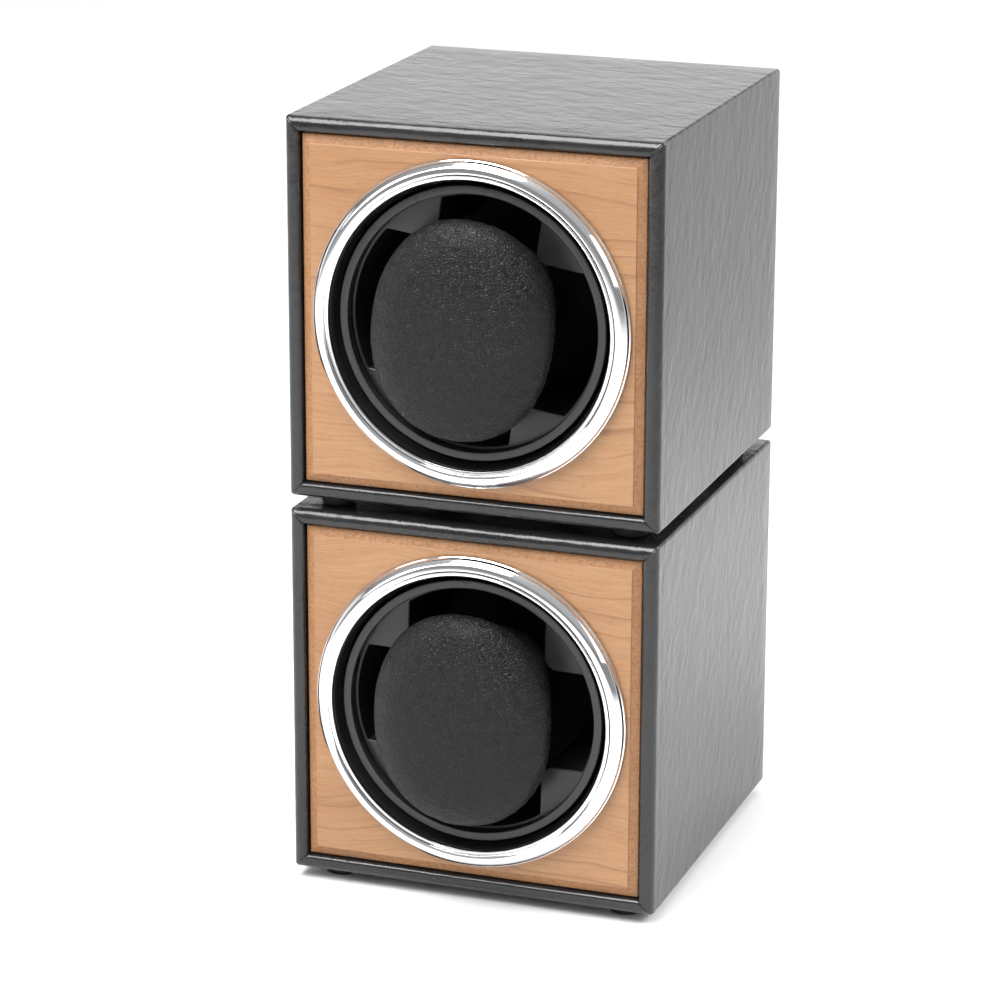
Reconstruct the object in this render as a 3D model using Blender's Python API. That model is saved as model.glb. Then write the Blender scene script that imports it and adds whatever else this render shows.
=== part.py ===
"""A stack of two single-watch winder modules.

Metres, +Z up, fronts towards -Y. The origin is at the middle of the whole object's footprint.
Each module is a leatherette-covered box with a wood front. A belt-driven drum turns behind a
chrome ring and holds a removable pillow, round which a watch is closed. The upper module
stands on the lower one on rubber feet and lifts off.

Piece shapes are drawn in a module's own frame: X to the right, Y from the front lip (0) to the
back, and Z = 0 on the drum's axis. Turned pieces are lists of (radius, Y) points.
"""

import math

import bmesh
import bpy
from mathutils import Matrix, Vector

# ---------------------------------------------------------------- driving dimensions
CLEARANCE = 0.0003

CASE_SIDE = 0.118
CASE_DEPTH = 0.124
CASE_ROUNDING = 0.0016
COVER_THICKNESS = 0.0010
LIP_WIDTH = 0.0047
LIP_DEPTH = 0.0024
CARCASS_WALL = 0.0032

FOOT_HEIGHT = 0.0032
FOOT_RADIUS = 0.0060
FOOT_INSET = 0.0120

PANEL_MARGIN = 0.0005
PANEL_FRONT = 0.0006
PANEL_THICKNESS = 0.0070
PANEL_BEVEL_WIDTH = 0.0028
PANEL_BEVEL_DEPTH = 0.0014
PANEL_HOLE_RADIUS = 0.0462

RING_RADIUS = 0.0500
RING_INNER_RADIUS = 0.0443
RING_PROUD = 0.0032

RIM_RADIUS = 0.0420
RIM_INNER_RADIUS = 0.0393
RIM_FRONT = 0.0010
DRUM_RADIUS = 0.0414
DRUM_WALL = 0.0016
DRUM_FRONT = 0.0038
DRUM_BACK = 0.0450
DRUM_FLOOR = 0.0020
HUB_RADIUS = 0.0080
HUB_BACK = 0.0490

PLATE_FRONT = 0.0045
POCKET_FLOOR = 0.0407
POCKET_RADIUS = 0.0383
POCKET_WIDE_HALF = 0.0219
POCKET_NARROW_HALF = 0.0156
POCKET_CORNER_RADIUS = 0.0040

SHAFT_RADIUS = 0.0027
SHAFT_HOLE_RADIUS = 0.0030
SHAFT_BACK = 0.0720
BEARING_RADIUS = 0.0080
CHASSIS_FRONT = 0.0540
CHASSIS_THICKNESS = 0.0030
POST_RADIUS = 0.0030
POST_X = 0.0505
POST_Z = 0.0240

MOTOR_X = -0.0410
MOTOR_Z = -0.0410
MOTOR_GEARBOX_RADIUS = 0.0120
MOTOR_CAN_RADIUS = 0.0102
BELT_PLANE = 0.0650
BELT_WIDTH = 0.0018
BELT_THICKNESS = 0.0012
BIG_GROOVE_RADIUS = 0.0252
SMALL_GROOVE_RADIUS = 0.0063

BACK_PANEL_FRONT = 0.1184
BACK_PANEL_THICKNESS = 0.0030
SCREW_OFFSET = 0.0495
SCREW_HOLE_RADIUS = 0.0016
BLOCK_DEPTH = 0.0100
CONTROL_Z = -0.0240
KNOB_X = -0.0240
INLET_X = 0.0240
KNOB_BACK = 0.1315
BOARD_Y = 0.0960
BOARD_THICKNESS = 0.0016
BOARD_LOW = (0.0020, 0.0060)
BOARD_HIGH = (0.0460, 0.0420)

PILLOW_FRONT = -0.0170
PILLOW_WIDEST = -0.0070
PILLOW_NECK = 0.0030
PILLOW_BACK = 0.0330
PILLOW_HALF_WIDTH = 0.0290
PILLOW_HALF_HEIGHT = 0.0345
PILLOW_NECK_HALF_WIDTH = 0.0252
PILLOW_NECK_HALF_HEIGHT = 0.0250
PILLOW_SQUARENESS = 2.15
PILLOW_NECK_SQUARENESS = 3.0
PILLOW_TAPER = 0.32

# How far each module's pocket and pillow are turned about the drum's axis, degrees,
# positive anticlockwise as seen from the front.
INSERT_TURN = {"lower": -1.3, "upper": 81.8}
PILLOW_TURN = {"lower": -1.3, "upper": -8.2}

# Heights of the two modules' drum axes above the surface that the stack stands on.
CASE_BOTTOM = FOOT_HEIGHT + CLEARANCE
AXIS_HEIGHT = CASE_BOTTOM + CASE_SIDE / 2
MODULE_PITCH = CASE_SIDE + FOOT_HEIGHT + 2 * CLEARANCE
MODULE_HEIGHT = {"lower": AXIS_HEIGHT, "upper": AXIS_HEIGHT + MODULE_PITCH}

# The footprint runs from the pillows' fronts to the knobs' backs.
FRONT_LIP_Y = -(PILLOW_FRONT + KNOB_BACK) / 2

# Number of sides on round pieces, from the largest to the smallest.
FINE = 36
MEDIUM = 20
COARSE = 12
TINY = 8

CARCASS_INNER = CASE_SIDE / 2 - COVER_THICKNESS - CLEARANCE - CARCASS_WALL
LIP_OPENING = CASE_SIDE / 2 - LIP_WIDTH
BACK_PANEL_BACK = BACK_PANEL_FRONT + BACK_PANEL_THICKNESS
CORNERS = ((-1, -1), (1, -1), (-1, 1), (1, 1))


# ---------------------------------------------------------------- scene and materials
def clear_scene():
    for obj in list(bpy.data.objects):
        bpy.data.objects.remove(obj)


def plain_material(name, colour, roughness, metallic=0.0):
    material = bpy.data.materials.new(name)
    material.use_nodes = True
    shader = material.node_tree.nodes["Principled BSDF"]
    shader.inputs["Base Color"].default_value = (*colour, 1.0)
    shader.inputs["Roughness"].default_value = roughness
    shader.inputs["Metallic"].default_value = metallic
    material.diffuse_color = (*colour, 1.0)
    return material


# ---------------------------------------------------------------- shape helpers
def finished(name, bm, smooth_angle=35):
    """Turn a bmesh into a mesh with its faces pointing out and its round sides smooth."""
    bmesh.ops.remove_doubles(bm, verts=bm.verts, dist=1e-7)
    bmesh.ops.recalc_face_normals(bm, faces=bm.faces)
    mesh = bpy.data.meshes.new(name)
    bm.to_mesh(mesh)
    bm.free()
    mesh.shade_smooth()
    mesh.set_sharp_from_angle(angle=math.radians(smooth_angle))
    return mesh


def block(name, low, high, rounding=0.0, segments=2):
    """A box between two corners, with all its edges rounded if asked."""
    bm = bmesh.new()
    size = Vector(high) - Vector(low)
    middle = (Vector(high) + Vector(low)) / 2
    bmesh.ops.create_cube(bm, size=1.0, matrix=Matrix.Translation(middle) @ Matrix.Diagonal((*size, 1.0)))
    if rounding:
        bmesh.ops.bevel(
            bm, geom=bm.edges, offset=rounding, segments=segments, profile=0.5, affect="EDGES"
        )
    return finished(name, bm)


def turned(name, profile, sides, centre=(0.0, 0.0)):
    """Spin a closed outline of (radius, Y) points about an axis along Y through centre (X, Z)."""
    bm = bmesh.new()
    points = [bm.verts.new((radius, y, 0.0)) for radius, y in profile]
    edges = [bm.edges.new((points[i - 1], points[i])) for i in range(len(points))]
    on_axis = [edge for edge in edges if all(vert.co.x < 1e-9 for vert in edge.verts)]
    for edge in on_axis:
        edges.remove(edge)
        bm.edges.remove(edge)
    bmesh.ops.spin(
        bm,
        geom=points + edges,
        cent=(0.0, 0.0, 0.0),
        axis=(0.0, 1.0, 0.0),
        angle=math.tau,
        steps=sides,
        use_merge=True,
    )
    bmesh.ops.remove_doubles(bm, verts=bm.verts, dist=1e-6)
    bmesh.ops.translate(bm, verts=bm.verts, vec=(centre[0], 0.0, centre[1]))
    return finished(name, bm)


def rod(name, radius, start, end, sides, centre=(0.0, 0.0)):
    """A plain cylinder along Y."""
    return turned(name, [(0.0, start), (radius, start), (radius, end), (0.0, end)], sides, centre)


def prism(name, outline, start, end):
    """A solid with the (X, Z) outline, from one Y to another."""
    bm = bmesh.new()
    face = bm.faces.new([bm.verts.new((x, start, z)) for x, z in outline])
    grown = bmesh.ops.extrude_face_region(bm, geom=[face])
    moved = [item for item in grown["geom"] if isinstance(item, bmesh.types.BMVert)]
    bmesh.ops.translate(bm, verts=moved, vec=(0.0, end - start, 0.0))
    return finished(name, bm)


def combined(base, others, operation):
    """Cut others out of base, or join them to it, one after another."""
    target = bpy.data.objects.new(base.name, base)
    helpers = []
    bpy.context.collection.objects.link(target)
    for other in others:
        helper = bpy.data.objects.new(other.name, other)
        helper.hide_render = True
        helper.display_type = "WIRE"
        bpy.context.collection.objects.link(helper)
        helpers.append(helper)
        modifier = target.modifiers.new("Boolean", "BOOLEAN")
        modifier.solver = "EXACT"
        modifier.operation = operation
        modifier.object = helper
    graph = bpy.context.evaluated_depsgraph_get()
    mesh = bpy.data.meshes.new_from_object(target.evaluated_get(graph))
    mesh.name = base.name
    for obj in [target, *helpers]:
        bpy.data.objects.remove(obj)
    return mesh


def cut(base, *cutters):
    return combined(base, cutters, "DIFFERENCE")


def joined(base, *pieces):
    return combined(base, pieces, "UNION")


def arc(centre, radii, start_deg, end_deg, steps):
    """Points along an elliptical arc, both ends included."""
    points = []
    for step in range(steps + 1):
        angle = math.radians(start_deg + (end_deg - start_deg) * step / steps)
        points.append((centre[0] + radii[0] * math.cos(angle), centre[1] + radii[1] * math.sin(angle)))
    return points


# ---------------------------------------------------------------- case
def leatherette_cover():
    """The wrap: thin on the four sides, and turned in over the front edge as a thicker lip."""
    half = CASE_SIDE / 2
    inside = half - COVER_THICKNESS
    outer = block("leatherette_cover", (-half, 0.0, -half), (half, CASE_DEPTH, half), CASE_ROUNDING)
    hollow = block("cover_hollow", (-inside, LIP_DEPTH, -inside), (inside, CASE_DEPTH + 0.01, inside))
    window = block(
        "cover_window", (-LIP_OPENING, -0.01, -LIP_OPENING), (LIP_OPENING, LIP_DEPTH + 0.01, LIP_OPENING)
    )
    return cut(outer, hollow, window)


def carcass():
    """The board box inside the wrap, with a block in each back corner for the back panel's screws."""
    outside = CARCASS_INNER + CARCASS_WALL
    front = LIP_DEPTH + CLEARANCE
    back = CASE_DEPTH - CLEARANCE
    shell = block("carcass", (-outside, front, -outside), (outside, back, outside))
    hollow = block(
        "carcass_hollow",
        (-CARCASS_INNER, front - 0.01, -CARCASS_INNER),
        (CARCASS_INNER, back + 0.01, CARCASS_INNER),
    )
    shell = cut(shell, hollow)
    block_back = BACK_PANEL_FRONT - CLEARANCE
    block_front = block_back - BLOCK_DEPTH
    blocks = []
    holes = []
    for side, level in CORNERS:
        inner = SCREW_OFFSET - 0.005
        outer = CARCASS_INNER + CARCASS_WALL / 2
        low = (min(side * inner, side * outer), block_front, min(level * inner, level * outer))
        high = (max(side * inner, side * outer), block_back, max(level * inner, level * outer))
        blocks.append(block("screw_block", low, high))
        place = (side * SCREW_OFFSET, level * SCREW_OFFSET)
        holes.append(rod("screw_hole", SCREW_HOLE_RADIUS, block_front + 0.0015, block_back + 0.001, TINY, place))
    return cut(joined(shell, *blocks), *holes)


def foot():
    tread_radius = FOOT_RADIUS - 0.0008
    profile = [(0.0, 0.0), (FOOT_RADIUS, 0.0), (tread_radius, FOOT_HEIGHT), (0.0, FOOT_HEIGHT)]
    return turned("foot", profile, COARSE)


def wood_front_panel():
    """A square board with a shallow bevel round its face and a round opening."""
    half = LIP_OPENING - PANEL_MARGIN
    face_half = half - PANEL_BEVEL_WIDTH
    levels = (
        (face_half, PANEL_FRONT),
        (half, PANEL_FRONT + PANEL_BEVEL_DEPTH),
        (half, PANEL_FRONT + PANEL_THICKNESS),
    )
    bm = bmesh.new()
    rings = []
    for size, y in levels:
        rings.append([bm.verts.new((x * size, y, z * size)) for x, z in ((-1, -1), (1, -1), (1, 1), (-1, 1))])
    for near, far in zip(rings, rings[1:]):
        for i in range(4):
            bm.faces.new((near[i - 1], near[i], far[i], far[i - 1]))
    bm.faces.new(rings[0])
    bm.faces.new(rings[-1])
    board = finished("wood_front_panel", bm)
    opening = rod("panel_opening", PANEL_HOLE_RADIUS, -0.01, 0.02, FINE)
    return cut(board, opening)


def chrome_ring():
    """A rounded ring proud of the wood, with a spigot behind it that fills the wood's opening."""
    base = PANEL_FRONT - CLEARANCE
    spigot_outer = PANEL_HOLE_RADIUS - CLEARANCE
    spigot_inner = 0.0449
    profile = [(RING_RADIUS, base), (RING_RADIUS, -0.0006), (0.0496, -0.0012), (0.0483, -0.0023)]
    profile += [(0.0468, -0.0031), (0.0462, -RING_PROUD), (0.0452, -0.0029)]
    profile += [(RING_INNER_RADIUS, -0.0023), (spigot_inner, -0.0012)]
    profile += [(spigot_inner, 0.0070), (spigot_outer, 0.0070), (spigot_outer, base)]
    return turned("chrome_ring", profile, FINE)


def inner_bezel():
    """The black funnel between the chrome ring and the drum, with a flange behind the wood."""
    outer = 0.0446
    flange = 0.0500
    bore = 0.0427
    flange_front = PANEL_FRONT + PANEL_THICKNESS + CLEARANCE
    flange_back = flange_front + 0.0020
    throat = arc((0.0442, 0.0033), (0.0015, 0.0042), 270, 180, 2)
    profile = [(outer, -0.0009)] + throat
    profile += [(bore, 0.0120), (outer, 0.0120), (outer, flange_back)]
    profile += [(flange, flange_back), (flange, flange_front), (outer, flange_front)]
    return turned("inner_bezel", profile, FINE)


def chassis_plate():
    """The plate behind the drum, with four posts that reach forward to the wood panel."""
    half = CARCASS_INNER - CLEARANCE
    back = CHASSIS_FRONT + CHASSIS_THICKNESS
    plate = block("chassis_plate", (-half, CHASSIS_FRONT, -half), (half, back, half))
    post_front = PANEL_FRONT + PANEL_THICKNESS + CLEARANCE
    posts = []
    for side, level in CORNERS:
        place = (side * POST_X, level * POST_Z)
        posts.append(rod("post", POST_RADIUS, post_front, CHASSIS_FRONT + 0.001, TINY, place))
    plate = joined(plate, *posts)
    bearing_hole = rod("bearing_hole", BEARING_RADIUS + CLEARANCE, 0.05, 0.06, MEDIUM)
    motor_hole = rod("motor_hole", 0.0035, 0.05, 0.06, COARSE, (MOTOR_X, MOTOR_Z))
    return cut(plate, bearing_hole, motor_hole)


def back_panel():
    """The rear board, with openings for the screws and controls and four posts for the circuit board."""
    half = CARCASS_INNER - CLEARANCE
    panel = block("back_panel", (-half, BACK_PANEL_FRONT, -half), (half, BACK_PANEL_BACK, half))
    board_back = BOARD_Y + BOARD_THICKNESS + CLEARANCE
    inset = 0.004
    posts = []
    for x in (BOARD_LOW[0] + inset, BOARD_HIGH[0] - inset):
        for z in (BOARD_LOW[1] + inset, BOARD_HIGH[1] - inset):
            posts.append(rod("board_post", 0.0020, board_back, BACK_PANEL_FRONT + 0.001, TINY, (x, z)))
    panel = joined(panel, *posts)
    front = BACK_PANEL_FRONT - 0.01
    back = BACK_PANEL_BACK + 0.01
    holes = [rod("knob_hole", 0.0037, front, back, COARSE, (KNOB_X, CONTROL_Z))]
    holes.append(rod("inlet_hole", 0.0045, front, back, COARSE, (INLET_X, CONTROL_Z)))
    for side, level in CORNERS:
        place = (side * SCREW_OFFSET, level * SCREW_OFFSET)
        holes.append(rod("screw_hole", SCREW_HOLE_RADIUS, front, back, TINY, place))
    return cut(panel, *holes)


def back_screw():
    """A pan-head screw that points forward, drawn on its own axis."""
    head_front = BACK_PANEL_BACK + CLEARANCE
    head_back = head_front + 0.0016
    return turned(
        "back_screw",
        [
            (0.0, 0.1110),
            (0.0013, 0.1110),
            (0.0013, head_front),
            (0.0030, head_front),
            (0.0024, head_back),
            (0.0, head_back),
        ],
        TINY,
    )


# ---------------------------------------------------------------- drum
def drum_rim():
    front = RIM_FRONT
    back = DRUM_FRONT - CLEARANCE
    edge = 0.0004
    return turned(
        "drum_rim",
        [
            (RIM_RADIUS, back),
            (RIM_RADIUS, front + edge),
            (RIM_RADIUS - edge, front),
            (RIM_INNER_RADIUS + edge, front),
            (RIM_INNER_RADIUS, front + edge),
            (RIM_INNER_RADIUS, back),
        ],
        FINE,
    )


def drum_cup():
    inner = DRUM_RADIUS - DRUM_WALL
    floor = DRUM_BACK - DRUM_FLOOR
    return turned(
        "drum_cup",
        [
            (DRUM_RADIUS, DRUM_FRONT),
            (inner, DRUM_FRONT),
            (inner, floor),
            (SHAFT_HOLE_RADIUS, floor),
            (SHAFT_HOLE_RADIUS, HUB_BACK),
            (HUB_RADIUS, HUB_BACK),
            (HUB_RADIUS, DRUM_BACK),
            (DRUM_RADIUS, DRUM_BACK),
        ],
        FINE,
    )


def pocket_outline():
    """A plus whose arms end on a circle and whose four inside corners are rounded."""
    wide = POCKET_WIDE_HALF
    narrow = POCKET_NARROW_HALF
    corner = POCKET_CORNER_RADIUS
    arm_end = math.degrees(math.asin(narrow / POCKET_RADIUS))
    arm_top = math.degrees(math.acos(wide / POCKET_RADIUS))
    quarter = arc((0.0, 0.0), (POCKET_RADIUS, POCKET_RADIUS), 0, arm_end, 4)[1:]
    quarter += arc((wide + corner, narrow + corner), (corner, corner), 270, 180, 4)
    quarter += arc((0.0, 0.0), (POCKET_RADIUS, POCKET_RADIUS), arm_top, 90, 5)
    half = quarter + [(-x, z) for x, z in reversed(quarter[:-1])]
    return [(POCKET_RADIUS, 0.0)] + half + [(-POCKET_RADIUS, 0.0)] + [(x, -z) for x, z in reversed(half)]


def drum_insert():
    radius = DRUM_RADIUS - DRUM_WALL - CLEARANCE
    back = DRUM_BACK - DRUM_FLOOR - CLEARANCE
    body = rod("drum_insert", radius, PLATE_FRONT, back, FINE)
    pocket = prism("pocket", pocket_outline(), PLATE_FRONT - 0.01, POCKET_FLOOR)
    return cut(body, pocket)


def pillow():
    """A cushion with a domed front, gripped by the plates' corners and narrower towards its back."""
    sides = 20
    sections = [(PILLOW_FRONT, 0.0, 0.0)]
    for step in range(1, 6):
        angle = math.radians(18 * step)
        reach = math.sin(angle) ** 0.85
        y = PILLOW_WIDEST + (PILLOW_FRONT - PILLOW_WIDEST) * math.cos(angle)
        sections.append((y, PILLOW_HALF_WIDTH * reach, PILLOW_HALF_HEIGHT * reach))
    sections.append((PILLOW_WIDEST + 0.004, PILLOW_HALF_WIDTH - 0.0012, PILLOW_HALF_HEIGHT - 0.0030))
    sections.append((PILLOW_NECK, PILLOW_NECK_HALF_WIDTH, PILLOW_NECK_HALF_HEIGHT))
    depth = PILLOW_BACK - PILLOW_NECK
    for step in range(1, 5):
        angle = math.radians(22.5 * step)
        reach = math.cos(angle) ** 0.5 if step < 4 else 0.0
        narrowing = 1 - PILLOW_TAPER * math.sin(angle)
        y = PILLOW_NECK + depth * math.sin(angle)
        sections.append((y, PILLOW_NECK_HALF_WIDTH * narrowing * reach, PILLOW_NECK_HALF_HEIGHT * reach))
    bm = bmesh.new()
    rings = []
    for y, half_width, half_height in sections:
        if half_width == 0.0:
            rings.append([bm.verts.new((0.0, y, 0.0))])
            continue
        ring = []
        for side in range(sides):
            angle = math.tau * side / sides
            power = 2 / (PILLOW_SQUARENESS if y < PILLOW_NECK else PILLOW_NECK_SQUARENESS)
            x = half_width * math.copysign(abs(math.cos(angle)) ** power, math.cos(angle))
            z = half_height * math.copysign(abs(math.sin(angle)) ** power, math.sin(angle))
            ring.append(bm.verts.new((x, y, z)))
        rings.append(ring)
    for near, far in zip(rings, rings[1:]):
        for side in range(sides):
            corners = [near[side - 1 if len(near) > 1 else 0], near[side if len(near) > 1 else 0]]
            corners += [far[side if len(far) > 1 else 0], far[side - 1 if len(far) > 1 else 0]]
            bm.faces.new(list(dict.fromkeys(corners)))
    return finished("pillow", bm)


# ---------------------------------------------------------------- drive
def drum_shaft():
    return rod("drum_shaft", SHAFT_RADIUS, DRUM_BACK - DRUM_FLOOR + 0.0001, SHAFT_BACK, MEDIUM)


def shaft_bearing():
    front = CHASSIS_FRONT - 0.0005
    flange_front = CHASSIS_FRONT + CHASSIS_THICKNESS + CLEARANCE
    flange_back = flange_front + 0.0010
    return turned(
        "shaft_bearing",
        [
            (SHAFT_HOLE_RADIUS, front),
            (BEARING_RADIUS, front),
            (BEARING_RADIUS, flange_front),
            (BEARING_RADIUS + 0.0014, flange_front),
            (BEARING_RADIUS + 0.0014, flange_back),
            (SHAFT_HOLE_RADIUS, flange_back),
        ],
        MEDIUM,
    )


def pulley_rim(groove_radius, flange):
    """The grooved edge of a pulley, front to back, from its inner corner round to the next."""
    floor = 0.0012
    cheek = 0.0025
    outside = 0.0035
    top = groove_radius + flange
    return [
        (top, BELT_PLANE - outside),
        (top, BELT_PLANE - cheek),
        (groove_radius, BELT_PLANE - floor),
        (groove_radius, BELT_PLANE + floor),
        (top, BELT_PLANE + cheek),
        (top, BELT_PLANE + outside),
    ]


def drum_pulley():
    hub = 0.0075
    cheek = BELT_PLANE + 0.0035
    back = BELT_PLANE + 0.0060
    profile = [(SHAFT_HOLE_RADIUS, BELT_PLANE - 0.0035)]
    profile += pulley_rim(BIG_GROOVE_RADIUS, 0.0018)
    profile += [(hub, cheek), (hub, back), (SHAFT_HOLE_RADIUS, back)]
    return turned("drum_pulley", profile, FINE)


def motor_pulley():
    """The small pulley and the motor's output shaft that it is pressed on."""
    profile = [(0.0, 0.0465), (0.0015, 0.0465), (0.0015, BELT_PLANE - 0.0035)]
    profile += pulley_rim(SMALL_GROOVE_RADIUS, 0.0018)
    profile += [(0.0, BELT_PLANE + 0.0035)]
    return turned("motor_pulley", profile, MEDIUM)


def gear_motor():
    """A can motor with a wider gearbox against the chassis plate, bored for the output shaft."""
    back = CHASSIS_FRONT - CLEARANCE
    return turned(
        "gear_motor",
        [
            (0.0, 0.0180),
            (0.0030, 0.0180),
            (0.0030, 0.0200),
            (MOTOR_CAN_RADIUS, 0.0200),
            (MOTOR_CAN_RADIUS, 0.0380),
            (MOTOR_GEARBOX_RADIUS, 0.0380),
            (MOTOR_GEARBOX_RADIUS, back),
            (0.0018, back),
            (0.0018, 0.0455),
            (0.0, 0.0455),
        ],
        MEDIUM,
    )


def belt_outline(offset):
    """The closed path round both pulleys: two arcs joined by straight runs."""
    reach = math.hypot(MOTOR_X, MOTOR_Z)
    towards_motor = math.degrees(math.atan2(MOTOR_Z, MOTOR_X))
    spread = math.degrees(math.acos((BIG_GROOVE_RADIUS - SMALL_GROOVE_RADIUS) / reach))
    big = BIG_GROOVE_RADIUS + offset
    small = SMALL_GROOVE_RADIUS + offset
    path = arc((0.0, 0.0), (big, big), towards_motor + spread, towards_motor + 360 - spread, 20)
    path += arc((MOTOR_X, MOTOR_Z), (small, small), towards_motor - spread, towards_motor + spread, 6)
    return path


def drive_belt():
    start = BELT_PLANE - BELT_WIDTH / 2
    end = BELT_PLANE + BELT_WIDTH / 2
    outer = prism("drive_belt", belt_outline(CLEARANCE + BELT_THICKNESS), start, end)
    inner = prism("belt_inside", belt_outline(CLEARANCE), start - 0.01, end + 0.01)
    return cut(outer, inner)


# ---------------------------------------------------------------- electrics
def circuit_board():
    """The controller board, with its chip, capacitor, driver and connector on the side facing back."""
    face = BOARD_Y + BOARD_THICKNESS
    sunk = face - 0.0005
    low_x, low_z = BOARD_LOW
    high_x, high_z = BOARD_HIGH
    board = block("circuit_board", (low_x, BOARD_Y, low_z), (high_x, face, high_z))
    chip = block("chip", (low_x + 0.014, sunk, low_z + 0.012), (low_x + 0.026, face + 0.0020, low_z + 0.020))
    driver = block("driver", (low_x + 0.011, sunk, low_z + 0.026), (low_x + 0.021, face + 0.0045, low_z + 0.033))
    plug = block("connector", (low_x + 0.028, sunk, low_z + 0.003), (low_x + 0.037, face + 0.0070, low_z + 0.009))
    capacitor = rod("capacitor", 0.0040, sunk, face + 0.0090, COARSE, (low_x + 0.033, low_z + 0.026))
    return joined(board, chip, driver, plug, capacitor)


def dc_inlet():
    """A round panel socket with a centre pin."""
    lip = BACK_PANEL_BACK + 0.0010
    bore_end = BACK_PANEL_FRONT - 0.0060
    return turned(
        "dc_inlet",
        [
            (0.0, 0.1060),
            (0.0055, 0.1060),
            (0.0055, BACK_PANEL_FRONT - CLEARANCE),
            (0.0042, BACK_PANEL_FRONT - CLEARANCE),
            (0.0042, lip),
            (0.0028, lip),
            (0.0028, bore_end),
            (0.0010, bore_end),
            (0.0010, lip - 0.0010),
            (0.0, lip - 0.0010),
        ],
        COARSE,
    )


def mode_switch():
    """A rotary switch body with its threaded bush through the back panel."""
    half = 0.0085
    front = BACK_PANEL_FRONT - 0.0095
    back = BACK_PANEL_FRONT - CLEARANCE
    body = block("mode_switch", (-half, front, -half), (half, back, half), 0.0008, 1)
    bush = rod("bush", 0.0034, back - 0.002, BACK_PANEL_BACK + 0.0012, COARSE)
    bore = rod("bore", 0.0020, front + 0.0025, BACK_PANEL_BACK + 0.01, COARSE)
    return cut(joined(body, bush), bore)


def mode_knob():
    """A knob with a raised pointer, and the spindle that enters the switch."""
    front = BACK_PANEL_BACK + 0.0020
    knob = turned(
        "mode_knob",
        [
            (0.0, BACK_PANEL_FRONT - 0.0050),
            (0.0016, BACK_PANEL_FRONT - 0.0050),
            (0.0016, front),
            (0.0088, front),
            (0.0088, front + 0.0020),
            (0.0078, KNOB_BACK - 0.0016),
            (0.0072, KNOB_BACK - 0.0010),
            (0.0, KNOB_BACK - 0.0010),
        ],
        MEDIUM,
    )
    pointer = block("pointer", (-0.0007, KNOB_BACK - 0.0020, 0.0010), (0.0007, KNOB_BACK, 0.0068))
    return joined(knob, pointer)


# ---------------------------------------------------------------- assembly
def empty(name, location, parent=None, turn=0.0):
    holder = bpy.data.objects.new(name, None)
    bpy.context.collection.objects.link(holder)
    holder.parent = parent
    holder.location = location
    holder.rotation_euler = (0.0, math.radians(-turn), 0.0)
    return holder


def place(name, mesh, material, parent, location=(0.0, 0.0, 0.0)):
    """Put a piece in the scene under its own name, in its own copy of a finish."""
    obj = bpy.data.objects.new(name, mesh)
    bpy.context.collection.objects.link(obj)
    obj.parent = parent
    obj.location = location
    if not mesh.materials:
        mesh.materials.append(material)
    return obj


def make_shapes():
    """One mesh and one finish for each kind of piece, shared by both modules."""
    black = (0.018, 0.018, 0.020)
    return {
        "leatherette_cover": (leatherette_cover(), plain_material("leatherette", black, 0.42)),
        "carcass": (carcass(), plain_material("board", (0.36, 0.25, 0.15), 0.80)),
        "foot": (foot(), plain_material("foot_rubber", (0.020, 0.020, 0.020), 0.85)),
        "wood_front_panel": (wood_front_panel(), plain_material("cherry", (0.56, 0.30, 0.14), 0.45)),
        "chrome_ring": (chrome_ring(), plain_material("chrome", (0.85, 0.86, 0.88), 0.05, 1.0)),
        "inner_bezel": (inner_bezel(), plain_material("gloss_black", (0.010, 0.010, 0.011), 0.12)),
        "chassis_plate": (chassis_plate(), plain_material("chassis", (0.05, 0.05, 0.05), 0.55)),
        "back_panel": (back_panel(), plain_material("back_board", (0.022, 0.022, 0.022), 0.60)),
        "back_screw": (back_screw(), plain_material("screw_steel", (0.30, 0.30, 0.31), 0.35, 1.0)),
        "drum_rim": (drum_rim(), plain_material("rim_grey", (0.070, 0.070, 0.075), 0.35)),
        "drum_cup": (drum_cup(), plain_material("drum_black", (0.015, 0.015, 0.015), 0.50)),
        "drum_insert": (drum_insert(), plain_material("insert_grey", (0.050, 0.050, 0.053), 0.40)),
        "pillow": (pillow(), plain_material("pillow_leatherette", (0.022, 0.022, 0.025), 0.50)),
        "drum_shaft": (drum_shaft(), plain_material("shaft_steel", (0.60, 0.60, 0.62), 0.25, 1.0)),
        "shaft_bearing": (shaft_bearing(), plain_material("bearing_steel", (0.55, 0.55, 0.57), 0.30, 1.0)),
        "drum_pulley": (drum_pulley(), plain_material("pulley_white", (0.72, 0.71, 0.68), 0.45)),
        "motor_pulley": (motor_pulley(), plain_material("brass", (0.78, 0.58, 0.28), 0.30, 1.0)),
        "gear_motor": (gear_motor(), plain_material("motor_steel", (0.52, 0.52, 0.54), 0.30, 1.0)),
        "drive_belt": (drive_belt(), plain_material("belt_rubber", (0.025, 0.025, 0.025), 0.70)),
        "circuit_board": (circuit_board(), plain_material("board_green", (0.02, 0.17, 0.07), 0.40)),
        "dc_inlet": (dc_inlet(), plain_material("inlet_black", (0.020, 0.020, 0.020), 0.40)),
        "mode_switch": (mode_switch(), plain_material("switch_grey", (0.20, 0.20, 0.21), 0.45)),
        "mode_knob": (mode_knob(), plain_material("knob_black", (0.025, 0.025, 0.025), 0.40)),
    }


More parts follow.
